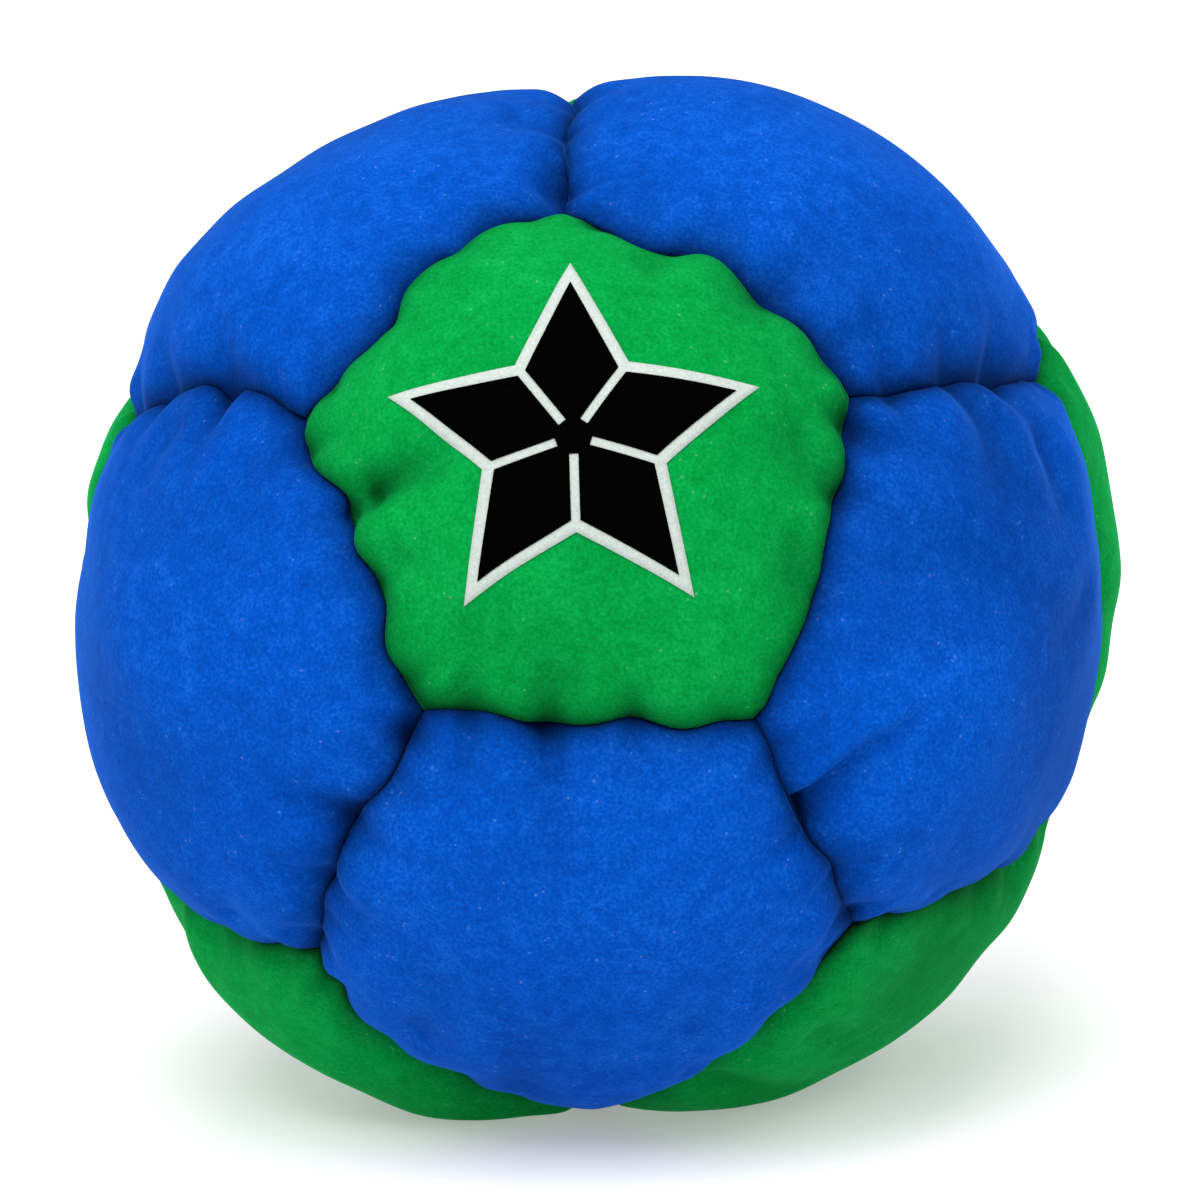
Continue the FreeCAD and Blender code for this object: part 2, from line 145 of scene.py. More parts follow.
def turn_of(name):
    """Rows are the panel's own X, Y and Z: Z out of the panel, X to the next one's."""
    z = AXES[name]
    hub_panel = {"front": "upper_left", "back": "top_rear"}.get(
        name, "front" if name in FRONT_HALF else "back")
    x = AXES[hub_panel] - z * (AXES[hub_panel] @ z)
    x /= np.linalg.norm(x)
    return np.array([x, np.cross(z, x), z])


# How the seams waver: nine values, in mm towards the first panel, from end to end.
WAVER = {
    ("front", "right"): (.4, .2, -.2, .1, .2, -.3, -.3, -.3, -.4),
    ("front", "upper_right"): (.3, 1.1, 1.6, -.5, -.7, 0, .2, -.4, .1),
    ("front", "upper_left"): (.1, .5, 1.0, .2, -.3, -.1, -.1, -.3, .4),
    ("front", "left"): (-.5, -.7, 1.3, 1.7, .9, 2.0, 1.7, .2, -1.3),
    ("front", "lower"): (.2, -.3, .3, .4, -.1, -.4, -.3, 0, .2),
    ("upper_left", "upper_right"): (.1, .3, -.1, -.2, 0, .3, .1, -.2, 0),
    ("upper_left", "left"): (1.3, 1.6, 1.7, 1.8, 1.6, 1.2, .5, .2, 0),
    ("upper_right", "right"): (.2, .3, .3, .3, .5, .4, -.1, -.4, -.7),
    ("left", "lower"): (.2, -.2, .4, .9, .6, .2, .5, 0, -.1),
    ("right", "lower"): (-.4, -.5, -.7, -.5, -1.0, -1.2, -1.3, -.8, -.4),
    ("left", "base_left"): (-.6, -1.2, -1.4, -1.9, -1.8, -2.1, -1.7, -1.2, -.6),
    ("lower", "base_left"): (-1.0, -1.4, -1.7, -1.2, -1.0, -2.2, -2.4, -1.9, -1.5),
    ("lower", "base_right"): (.2, .8, 1.5, 2.2, 2.8, 2.4, 2.2, 1.9, 1.3),
    ("right", "rear_right"): (-.8, -1.0, -1.3, -1.6, -1.9, -2.2, -2.3, -2.0, -1.5),
    ("right", "base_right"): (-1.0, -1.5, -2.0, -2.2, -2.0, -1.6, -1.3, -1.2, -1.0),
}
# How far the thread draws each corner, where three panels meet, in mm.
CORNER_DRAW = {
    ("front", "upper_left", "upper_right"): (-.5, -.9, -.4),
    ("front", "upper_left", "left"): (1.1, -1.6, -.7),
    ("front", "left", "lower"): (1.3, -.4, 1.0),
    ("front", "right", "lower"): (-.5, -.2, -.3),
    ("front", "upper_right", "right"): (-.4, -.4, 0),
    ("upper_left", "upper_right", "top_rear"): (-.1, -1.4, .9),
    ("upper_left", "left", "rear_left"): (-.1, 1.5, 1.1),
    ("left", "lower", "base_left"): (.2, -1.3, 1.1),
    ("right", "lower", "base_right"): (-1.6, -3.2, 2.3),
    ("upper_right", "right", "rear_right"): (-.4, 1.8, .9),
    ("lower", "base_left", "base_right"): (-.4, 1.3, -.7),
}
KNOTS = np.linspace(-.8, .8, 9)
SEAM_HALF = math.asin((math.sqrt(5) - 1) / (2 * math.sqrt(3)))
SEAM_RADIUS = 27                # at which angles are turned into millimetres
NEIGHBOURS = 0.3                # panels that share a seam have axes with a cosine above this
SHORT_STITCHES, BELT_STITCHES = 4, 5
seams = {}
for one, two in combinations(PANELS, 2):
    if AXES[one] @ AXES[two] < NEIGHBOURS:
        continue
    luck = random.Random(f"{one}-{two}")
    middle = AXES[one] + AXES[two]
    middle /= np.linalg.norm(middle)
    normal = AXES[one] - AXES[two]
    normal /= np.linalg.norm(normal)
    belt = (one in FRONT_HALF) != (two in FRONT_HALF)
    seams[one, two] = dict(
        middle=middle, normal=normal, along=np.cross(middle, normal),
        stops=np.array([s + luck.uniform(-.05, .05)
                        for s in np.linspace(-.785, .785, BELT_STITCHES if belt
                                                    else SHORT_STITCHES)]),
        pull=[luck.uniform(0.2, 1.2) for _ in range(5)],
        ripple=(luck.uniform(1.3, 2.2), luck.uniform(0, 6)),
        waver=np.array(WAVER.get((one, two)) or np.interp(
            KNOTS, np.linspace(-.8, .8, 5), [luck.uniform(-1.1, 1.1) for _ in range(5)])))
corners = []
for trio in combinations(PANELS, 3):
    if all(AXES[a] @ AXES[b] > NEIGHBOURS for a, b in combinations(trio, 2)):
        luck = random.Random("-".join(trio))
        spot = sum(AXES[n] for n in trio)
        spot /= np.linalg.norm(spot)
        draw = np.array(CORNER_DRAW.get(trio) or [luck.uniform(-.9, .9) for _ in range(3)])
        corners.append((spot, draw - spot * (draw @ spot) * 0.6))


def seams_of(name):
    """The seams of a panel, each with the side of it that the panel is on."""
    for pair, seam in seams.items():
        if name in pair:
            yield seam, 1.0 if name == pair[0] else -1.0


def keep_apart(points, name, soft):
    """Presses a panel against the flat it shares with each neighbour."""
    for seam, side in seams_of(name):
        clear = points @ seam["normal"] * side - HALF_GAP
        pressed = np.where(clear < soft, soft * np.exp((clear - soft) / soft), clear)
        points = points + ((pressed - clear) * side)[:, None] * seam["normal"]
    return points


BLEND = 0.17                    # of one value of WAVER with the next, in half seams
RIPPLE = 0.06
WIDE, NARROW = 7, 3.2           # how far a seam's shift and its waver reach into the panels


def drawn(points):
    """Moves every seam and corner to where its thread has drawn it."""
    length = np.linalg.norm(points, axis=1)
    away = points / length[:, None]
    moved = np.zeros_like(points)
    for spot, draw in corners:
        near = np.exp(-(3 * np.linalg.norm(away - spot, axis=1)) ** 2)
        moved += near[:, None] * draw
    for seam in seams.values():
        out = away @ seam["middle"]
        along = np.arctan2(away @ seam["along"], out) / SEAM_HALF
        square = SEAM_RADIUS * np.abs(away @ seam["normal"])
        window = ease((1.5 - np.abs(along)) / 0.9) * (out > 0.5)
        near = np.exp(-((np.clip(along, -.9, .9)[:, None] - KNOTS) / BLEND) ** 2)
        mean = seam["waver"].mean()
        sway = near @ seam["waver"] / near.sum(1) - mean
        turns, phase = seam["ripple"]
        sway = sway + RIPPLE * np.sin(math.tau * turns * along + phase)
        moved += (window * (mean * np.exp(-(square / WIDE) ** 2)
                            + sway * np.exp(-(square / NARROW) ** 2)))[:, None] * seam["normal"]
    return points + moved * ease((length - 24.5) / 3)[:, None]


# Dents and folds: the panel, where each starts at its seam and where it dies out, as
# directions from the ball's centre, then its half width and depth in mm. A fold with a
# lip has two half widths, left and right of the way it runs.
FOLDS = [
    ("front", (-.40, -.80, .44), (-.26, -.83, .49), 1.25, 1.9),
    ("front", (-.35, -.88, .32), (-.29, -.91, .30), .8, .5),
    ("front", (.43, -.76, .50), (.49, -.76, .42), 1.4, .6),
    ("front", (.42, -.86, .29), (.37, -.92, .13), 1.3, .7),
    ("front", (-.04, -1.0, .08), (.05, -1.0, .08), 1.6, .35),
    ("front", (.15, -.57, .81), (.16, -.64, .75), 1.2, .5),
    ("front", (.31, -.58, .75), (.29, -.64, .71), 1.5, .35),
    ("front", (-.27, -.59, .76), (-.23, -.66, .71), 1.3, .35),
    ("front", (-.44, -.73, .52), (-.34, -.78, .53), 1.1, .4),
    ("front", (-.19, -.96, .18), (-.12, -.98, .16), 1.8, .3),
    ("upper_left", (-.03, -.27, .96), (-.05, -.44, .90), 1.0, .9),
    ("upper_left", (-.10, -.07, .99), (-.16, -.20, .97), 1.4, .35),
    ("upper_left", (-.13, -.48, .87), (-.18, -.52, .84), 1.1, 1.0),
    ("upper_left", (-.19, -.48, .85), (-.33, -.32, .89), 1.6, .5),
    ("upper_left", (-.30, -.53, .79), (-.37, -.63, .68), 1.1, .8),
    ("upper_left", (-.53, -.58, .62), (-.58, -.47, .66), 1.3, .5),
    ("upper_left", (-.67, -.45, .59), (-.69, -.36, .62), 1.1, .5),
    ("upper_left", (-.46, -.66, .59), (-.44, -.57, .70), 1.4, .6),
    ("upper_right", (.13, -.50, .85), (.16, -.39, .91), 1.0, .8),
    ("upper_right", (.27, -.54, .79), (.31, -.41, .86), 1.3, .9),
    ("upper_right", (.40, -.53, .75), (.49, -.39, .78), 1.3, .7),
    ("upper_right", (.03, -.19, .98), (.09, -.27, .96), 1.2, .4),
    ("upper_right", (.52, -.58, .63), (.62, -.42, .66), 1.3, .5),
    ("upper_right", (.68, -.48, .55), (.71, -.38, .59), 1.1, .5),
    ("left", (-.71, -.42, .56), (-.75, -.49, .45), 1.0, .9),
    ("left", (-.80, -.35, .48), (-.85, -.37, .39), 1.1, .6),
    ("left", (-.59, -.61, .54), (-.60, -.67, .43), 1.4, .5),
    ("left", (-.39, -.82, .42), (-.47, -.79, .38), 1.2, .5),
    ("left", (-.36, -.90, .25), (-.45, -.85, .26), 1.3, .5),
    ("left", (-.34, -.94, .06), (-.43, -.90, .09), 1.2, .5),
    ("left", (-.35, -.93, -.02), (-.45, -.89, -.08), 1.1, .9),
    ("left", (-.46, -.86, -.21), (-.55, -.82, -.16), 1.1, .9),
    ("left", (-.50, -.80, -.33), (-.58, -.75, -.32), 1.2, .5),
    ("left", (-.70, -.56, -.44), (-.69, -.64, -.34), 1.1, .5),
    ("right", (.37, -.90, -.205), (.52, -.84, -.085), (.5, 2.3), 2.3),
    ("right", (.44, -.85, -.28), (.50, -.80, -.34), 1.3, .7),
    ("right", (.67, -.60, -.44), (.66, -.67, -.34), 1.2, .4),
    ("right", (.58, -.66, .49), (.67, -.59, .45), 1.4, .5),
    ("right", (.51, -.82, .27), (.61, -.76, .24), 1.4, .45),
    ("right", (.45, -.89, .10), (.55, -.83, .09), 1.3, .4),
    ("right", (.80, -.38, .47), (.82, -.46, .35), 1.3, .6),
    ("right", (.91, -.23, .35), (.93, -.30, .21), 1.1, .7),
    ("right", (.95, -.30, .05), (.90, -.44, .01), 1.2, .4),
    ("lower", (-.08, -1.0, .01), (-.06, -.96, -.26), 1.5, .9),
    ("lower", (-.22, -.98, -.01), (-.23, -.97, -.12), 1.2, .4),
    ("lower", (.14, -.99, -.00), (.15, -.98, -.11), 1.4, .4),
    ("lower", (-.36, -.92, -.14), (-.28, -.95, -.12), 1.1, .6),
    ("lower", (-.47, -.84, -.26), (-.37, -.89, -.25), 1.1, .6),
    ("lower", (-.51, -.74, -.44), (-.41, -.82, -.40), 1.1, .5),
    ("lower", (-.35, -.67, -.66), (-.30, -.78, -.54), 1.2, .6),
    ("lower", (-.16, -.58, -.80), (-.14, -.75, -.65), 1.3, .5),
    ("lower", (.18, -.64, -.74), (.17, -.77, -.61), 1.3, .5),
    ("lower", (.38, -.74, -.55), (.31, -.82, -.48), 1.3, .5),
    ("lower", (.40, -.88, -.26), (.31, -.91, -.27), 1.2, .5),
]
# The hidden panels have folds of the same kind, three or four from their seams inwards.
for name in PANELS:
    if name in FRONT_HALF:
        continue
    luck = random.Random("folds-" + name)
    for seam, side in seams_of(name):
        for _ in range(luck.choice((1, 1, 2))):
            start = seam["middle"] + seam["along"] * luck.uniform(-.25, .25)
            end = start + (AXES[name] - start) * luck.uniform(.25, .5) \
                + seam["along"] * luck.uniform(-.1, .1)
            FOLDS.append((name, start, end, luck.uniform(.9, 1.5), luck.uniform(.4, 1.0)))

# The filling shows through as faint lumps of three sizes.
luck = np.random.default_rng(5)
LUMPS = [(luck.normal(size=3) * k, luck.uniform(0, 6.3), a)
         for k, a, n in ((3.2, .16, 5), (6.5, .09, 8), (13, .035, 12)) for _ in range(n)]


FOLD_RADIUS = 27.5
FAR = 9.0                       # from any seam
ROLL_START = 25.3               # where the plies end and the rolled edges start
PINCH, PINCH_REACH = 1.05, 1.3  # how far the thread closes the gap between rolled edges
SAG = 0.45                      # of the crowns, once the filling has settled
STITCH_DENT, STITCH_TAIL = 0.45, 0.26
PUFF = 0.22                     # between two stitches
CORNER_DENT = 0.7


def gathered(points, name):
    """Sinks the stitches, corners and folds of a blown panel. Returns points and painted shade.
    """
    length = np.linalg.norm(points, axis=1)
    outer = ease((length - ROLL_START) / 1.0)
    for seam, side in seams_of(name):
        square = points @ seam["normal"] * side
        points = points - (PINCH * np.exp(-np.clip(square, 0, FAR) / PINCH_REACH) * outer
                           * side)[:, None] * seam["normal"]
    points = keep_apart(points, name, 0.1)
    length = np.linalg.norm(points, axis=1)
    away = points / length[:, None]
    length = length - SAG * ease((length - 26) / 2)
    sunk = np.zeros(len(points))
    edge = np.full(len(points), FAR)
    for seam, side in seams_of(name):
        along = np.arctan2(away @ seam["along"], away @ seam["middle"]) / SEAM_HALF
        square = SEAM_RADIUS * np.abs(away @ seam["normal"])
        edge = np.minimum(edge, np.where(np.abs(along) < 1.2, square, FAR))
        between = ease((1.25 - np.abs(along)) / 0.4)
        for stop, pull in zip(seam["stops"], seam["pull"]):
            off = (along - stop) * SEAM_HALF * SEAM_RADIUS
            sunk += pull * (STITCH_DENT * np.exp(-(off / 1.1) ** 2 - (square / 1.6) ** 2)
                            + STITCH_TAIL * np.exp(-(off / 0.8) ** 2 - square / 2.8))
            between = between * (1 - np.exp(-(off / 1.4) ** 2))
        sunk -= PUFF * between * np.exp(-((square - 1.5) / 1.2) ** 2)
    for spot, _ in corners:
        near = SEAM_RADIUS * np.linalg.norm(away - spot, axis=1)
        sunk += CORNER_DENT * np.exp(-(near / 1.1) ** 2)
    for panel, start, end, half, deep in FOLDS:
        if panel != name:
            continue
        a, b = (FOLD_RADIUS * np.array(p) / np.linalg.norm(p) for p in (start, end))
        a, b = (p - (drawn(p[None])[0] - p) for p in (a, b))
        skin = FOLD_RADIUS * away
        part = np.clip((skin - a) @ (b - a) / ((b - a) @ (b - a)), 0, 1)
        off = np.linalg.norm(skin - (a + part[:, None] * (b - a)), axis=1)
        if isinstance(half, tuple):
            left, right = half
            across = np.cross(a, b)
            side_of_fold = skin @ across / np.linalg.norm(across)
            half = right + (left - right) * ease(side_of_fold / 0.6 + 0.5)
        sunk += deep * (1 - 0.7 * part) * (np.exp(-(off / half) ** 2)
                                           - 0.2 * np.exp(-((off - 2.2 * half) / half) ** 2))
    for wave, phase, size in LUMPS:
        sunk += size * np.sin(away @ wave + phase)
    # Painted shade: darker along the seams, in dents, folds and lumps, and on the turned-in
    # plies inside.
    crease = np.clip(np.exp(-edge / 0.8) * 0.9 + np.exp(-edge / 2.4) * 0.06
                     + np.clip(sunk, 0, 2) * 0.4, 0, 1)
    crease = np.maximum(crease, 1 - outer)
    return away * (length - sunk * ease((length - 22.5) / 5))[:, None], crease


def set_on_table(points, soft=0.5):
    """Flattens what would sink into the table."""
    height = points[:, 2] + REST_HEIGHT
    lifted = np.where(height < soft, soft * np.exp((height - soft) / soft), height)
    return points + np.outer(lifted - height, (0, 0, 1))


# Each panel is cut a little larger than the space it is sewn into, held at its stitches
# and blown up from inside as cloth, so it gathers between them.
FULLNESS = 0.10
HALF_SEAM, HELD_SPOT = 9.6, 0.55    # half a seam, and how far a stitch holds it, in mm
SOFT_TOUCH = 0.35               # mm over which a panel yields to its neighbour
CLOTH_SCALE = 0.05              # cloth metres for one millimetre
BLOW_STEPS = 24
suede = {}
for name in PANELS:
    panel = blank.copy()
    panel.data = blank.data.copy()
    panel.name = panel.data.name = "suede_" + name
    bpy.context.collection.objects.link(panel)
    turn = turn_of(name)
    start = keep_apart(bulged(0.0) @ turn, name, SOFT_TOUCH)
    rest = bulged(FULLNESS) @ turn
    hold = np.clip((STITCH_LINE + 0.35 - np.linalg.norm(start, axis=1)) / 0.5, 0, 1)
    for seam, side in seams_of(name):
        along = np.arctan2(start @ seam["along"], start @ seam["middle"]) / SEAM_HALF
        square = np.abs(start @ seam["normal"])
        for stop in seam["stops"]:
            near = np.exp(-((along - stop) * HALF_SEAM / HELD_SPOT) ** 2) * (square < 0.5)
            hold = np.maximum(hold, near * (near > 0.3))
    panel.data.vertices.foreach_set("co", (start * CLOTH_SCALE).ravel())
    panel.shape_key_add(name="Basis")
    cut = panel.shape_key_add(name="cut")
    cut.data.foreach_set("co", (rest * CLOTH_SCALE).ravel())
    cut.value = 0.0
    group = panel.vertex_groups.new(name="held")
    for index, weight in enumerate(hold):
        if weight > 0.02:
            group.add([index], float(weight), "REPLACE")
    cloth = panel.modifiers.new("Cloth", "CLOTH")
    how = cloth.settings
    how.quality = 6
    how.mass = 0.3
    how.tension_stiffness = how.compression_stiffness = 40
    how.shear_stiffness = 20
    how.bending_stiffness = 8
    how.tension_damping = how.compression_damping = how.shear_damping = 10
    how.air_damping = 3
    how.use_pressure = True
    how.uniform_pressure_force = 8
    how.vertex_group_mass = "held"
    how.rest_shape_key = cut
    how.effector_weights.gravity = 0
    cloth.collision_settings.use_collision = False
    suede[name] = panel
bpy.data.objects.remove(blank)

for step in range(1, BLOW_STEPS + 1):
    bpy.context.scene.frame_set(step)

# Each blown panel is taken out of the simulation, made finer, given its wall and gathered.
for name, panel in suede.items():
    seen = panel.evaluated_get(bpy.context.evaluated_depsgraph_get()).to_mesh()
    blown = np.empty(len(seen.vertices) * 3)
    seen.vertices.foreach_get("co", blown)
    panel.modifiers.clear()
    panel.shape_key_clear()
    panel.vertex_groups.clear()
    points = keep_apart(blown.reshape(-1, 3) / CLOTH_SCALE, name, SOFT_TOUCH)
    panel.data.vertices.foreach_set("co", points.ravel())
    bpy.ops.object.select_all(action="DESELECT")
    bpy.context.view_layer.objects.active = panel
    panel.select_set(True)
    smooth = panel.modifiers.new("smooth", "SUBSURF")
    smooth.levels = smooth.render_levels = 2
    bpy.ops.object.modifier_apply(modifier="smooth")
    wall = panel.modifiers.new("thickness", "SOLIDIFY")
    wall.thickness, wall.offset = SUEDE, -1
    bpy.ops.object.modifier_apply(modifier="thickness")
    points = np.empty(len(panel.data.vertices) * 3)
    panel.data.vertices.foreach_get("co", points)
    points, crease = gathered(points.reshape(-1, 3), name)
    points = set_on_table(drawn(points))
    panel.data.vertices.foreach_set("co", ((points + CENTRE) * MM).ravel())
    # The painted shade of seams, dents and folds is kept on the points for the suede's colour.
    marks = panel.data.attributes.new("crease", "FLOAT", "POINT")
    marks.data.foreach_set("value", crease)
    panel.data.update()
    bpy.ops.object.shade_smooth()
bpy.context.scene.frame_set(1)


class Shade:
    """A shader socket that can be used in plain arithmetic."""

    def __init__(self, tree, socket):
        self.tree, self.socket = tree, socket

    def node(self, kind, settings=None, **sockets):
        """A node of any kind: its settings first, then its sockets by name or _number."""
        made = self.tree.nodes.new(kind)
        for key, value in (settings or {}).items():
            if key == "stops":
                ramp = made.color_ramp
                while len(ramp.elements) < len(value):
                    ramp.elements.new(0.5)
                for stop, (at, shade) in zip(ramp.elements, value):
                    stop.position, stop.color = at, shade
            else:
                setattr(made, key, value)
        for key, value in sockets.items():
            slot = int(key[1:]) if key[1:].isdigit() else key.replace("_", " ")
            if isinstance(value, Shade):
                self.tree.links.new(value.socket, made.inputs[slot])
            else:
                made.inputs[slot].default_value = value
        return made

    def maths(self, operation, first, second=0.0):
        made = self.node("ShaderNodeMath", {"operation": operation}, _0=first, _1=second)
        return Shade(self.tree, made.outputs[0])

    def __add__(self, other): return self.maths("ADD", self, other)
    def __radd__(self, other): return self.maths("ADD", other, self)
    def __sub__(self, other): return self.maths("SUBTRACT", self, other)
    def __rsub__(self, other): return self.maths("SUBTRACT", other, self)
    def __mul__(self, other): return self.maths("MULTIPLY", self, other)
    def __rmul__(self, other): return self.maths("MULTIPLY", other, self)
    def above(self, edge): return self.maths("GREATER_THAN", self, edge)

    def noise(self, scale, detail=2.0, rough=0.5):
        return Shade(self.tree, self.node("ShaderNodeTexNoise", None, Vector=self, Scale=scale,
                                          Detail=detail, Roughness=rough).outputs["Fac"])

    def mix(self, first, second, factor):
        """A colour between two, given as values or sockets."""
        return Shade(self.tree, self.node("ShaderNodeMix", {"data_type": "RGBA"}, _0=factor,
                                          _6=first, _7=second).outputs[2])

    def into(self, shader, slot):
        self.tree.links.new(self.socket, shader.inputs[slot])


def srgb(r, g, b):
    """A colour as it is read off a screen, made linear."""
    return tuple((c / 12.92 if c <= 0.04045 else ((c + 0.055) / 1.055) ** 2.4)
                 for c in (r / 255, g / 255, b / 255)) + (1.0,)


def new_finish(name, **constants):
    """A material, its shader and its object coordinates."""
    made = bpy.data.materials.new(name)
    made.use_nodes = True
    shader = made.node_tree.nodes["Principled BSDF"]
    for slot, value in constants.items():
        shader.inputs[slot.replace("_", " ")].default_value = value
    coords = made.node_tree.nodes.new("ShaderNodeTexCoord")
    return made, shader, Shade(made.node_tree, coords.outputs["Object"])


NAP = (5200, 3, 0.6)            # scale, detail and roughness of the suede's nap


def suede_finish(name, base, deep, pale, painted_shade_colour, fuzz):
    """Suede in five shades of one colour: the fourth is painted shade, the last that of its
    raised nap, seen edge on.
    """
    made, shader, place = new_finish(name, Specular_IOR_Level=0.02, Sheen_Weight=0.9,
                                     Sheen_Roughness=0.24, Sheen_Tint=fuzz)
    nap = place.noise(*NAP)
    brushed = place.noise(900, 4, 0.6)
    patch = place.noise(110, 3, 0.5)
    tone = (nap - 0.5) * 1.1 + (brushed - 0.5) * 0.6 + (patch - 0.5) * 0.45 + 0.5
    ramp = place.node("ShaderNodeValToRGB",
                      {"stops": [(0.18, deep), (0.5, base), (0.86, pale)]}, Fac=tone)
    # Painted shade: the colour darkens towards the fourth shade along seams, dents and folds.
    crease = Shade(place.tree, place.node("ShaderNodeAttribute", {
        "attribute_name": "crease"}).outputs["Fac"])
    with_painted_shade = place.mix(Shade(place.tree, ramp.outputs["Color"]), painted_shade_colour, crease * 0.85)
    # Sparse pale specks are painted glints off the nap, kept out of the painted shade.
    specks = place.node("ShaderNodeTexVoronoi", {"feature": "F1"}, Vector=place, Scale=1700.0)
    painted_glint = (1 - Shade(place.tree, specks.outputs["Distance"]) * 5.0).above(0.3)
    rare = place.noise(900, 1).above(0.6)
    place.mix(with_painted_shade, (0.5, 0.62, 0.75, 1), painted_glint * rare * (1 - crease) * 0.08).into(
        shader, "Base Color")
    (0.84 + (nap - 0.5) * 0.2).into(shader, "Roughness")
    bump = place.node("ShaderNodeBump", None, Strength=0.45, Distance=0.00012,
                      Height=nap * 0.8 + brushed * 0.9)
    Shade(place.tree, bump.outputs[0]).into(shader, "Normal")
    return made


# The fourth colour of each suede is painted shade for its seams, dents, folds and plies.
blue_suede = suede_finish("blue_suede", srgb(1, 68, 163), srgb(1, 54, 138),
                          srgb(16, 88, 188), srgb(1, 16, 50), srgb(38, 98, 190))
green_suede = suede_finish("green_suede", srgb(1, 132, 55), srgb(1, 112, 42),
                           srgb(14, 150, 72), srgb(1, 34, 12), srgb(20, 140, 80))
for name, panel in suede.items():
    panel.data.materials.clear()
    panel.data.materials.append(blue_suede if name in BLUE else green_suede)
    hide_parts("panel_" + name)
    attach(panel, "root")

# ------------------------------------------------------------------ sewing threads
# Twisted polyester, 0.5 mm, run through the needle holes of the turned-in plies and
# knotted at both ends. The gathered edges hide it, save for the closing seam at the back.
made, shader, place = new_finish("polyester_thread", Roughness=0.55, Sheen_Weight=0.2)
strands = Shade(place.tree, place.node(
    "ShaderNodeTexWave", {"wave_type": "BANDS", "bands_direction": "DIAGONAL"},
    Vector=place, Scale=900.0, Distortion=2.0, Detail=2.0).outputs["Fac"])
place.mix(srgb(8, 14, 26), srgb(38, 52, 78), strands).into(shader, "Base Color")
Shade(place.tree, place.node("ShaderNodeBump", None, Strength=0.6, Distance=0.0001,
                             Height=strands).outputs[0]).into(shader, "Normal")
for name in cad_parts:
    if name.startswith("thread_"):
        node = bpy.data.objects[name]
        node.data.materials.clear()
        node.data.materials.append(made)

# ------------------------------------------------------------------ inner bag
# An inner bag of thin white cotton, sewn from two halves, keeps the sand off the suede.
# It is put in before the last seam is closed, and the sand presses it into every bulge.
hollows = [BVHTree.FromObject(panel, bpy.context.evaluated_depsgraph_get())
           for panel in suede.values()]
axes = np.array([AXES[name] for name in suede])
LINER = 0.25
LINER_CLEAR = 0.15
PLY_CLEAR = 0.9                 # below the ends of the plies
KNOT_REACH = 2.4                # knots and drawn plies stand this far out from a seam
STEEPEST = 1.4                  # a filled bag doesn't follow a corner steeper than this
MEAN_RADIUS, SLOPE_PASSES = 24, 12
CUT_GAP = 0.02                  # from each half to the cut between them


def pressed_in(name, clear, level=None):
    """A ball blown up inside the panels until it is this far from them and the seams."""
    bpy.ops.object.select_all(action="DESELECT")
    bpy.ops.mesh.primitive_ico_sphere_add(subdivisions=7, radius=20, location=(0, 0, 0))
    made = bpy.context.object
    made.name = made.data.name = name
    directions = np.empty(len(made.data.vertices) * 3)
    made.data.vertices.foreach_get("co", directions)
    directions = directions.reshape(-1, 3)
    directions /= np.linalg.norm(directions, axis=1)[:, None]
    beside = np.full(len(directions), FAR)
    for seam in seams.values():
        square = PLY_END * np.abs(directions @ seam["normal"])
        beside = np.where(directions @ seam["middle"] > 0.8, np.minimum(beside, square), beside)
    nearest = np.argsort(-(directions @ axes.T))[:, :3]
    middle = Vector(CENTRE * MM)
    reach = np.full(len(directions), PLY_END)
    for index, out in enumerate(directions):
        gaps = [hit[3] / MM for hit in (hollows[i].ray_cast(middle, Vector(out))
                                        for i in nearest[index]) if hit[3] is not None]
        if gaps:
            reach[index] = min(gaps)
    behind_ply = np.minimum(reach, PLY_END - PLY_CLEAR)
    reach = np.where(beside < KNOT_REACH + clear, behind_ply, reach) - clear
    edges = np.array([edge.vertices[:] for edge in made.data.edges])
    one, two = np.vstack([edges, edges[:, ::-1]]).T
    step = MEAN_RADIUS * STEEPEST * np.linalg.norm(directions[one] - directions[two], axis=1)
    for _ in range(SLOPE_PASSES):
        lower = reach.copy()
        np.minimum.at(lower, one, reach[two] + step)
        reach = lower
    points = CENTRE + directions * reach[:, None]
    if level is not None:
        top = level / MM + 0.4 * np.sin(points[:, 0] / 3) * np.cos(points[:, 1] / 3.7 + 1)
        points[:, 2] = np.where(points[:, 2] > level / MM, top, points[:, 2])
    made.data.vertices.foreach_set("co", (points * MM).ravel())
    made.data.update()
    bpy.ops.object.shade_smooth()
    return made


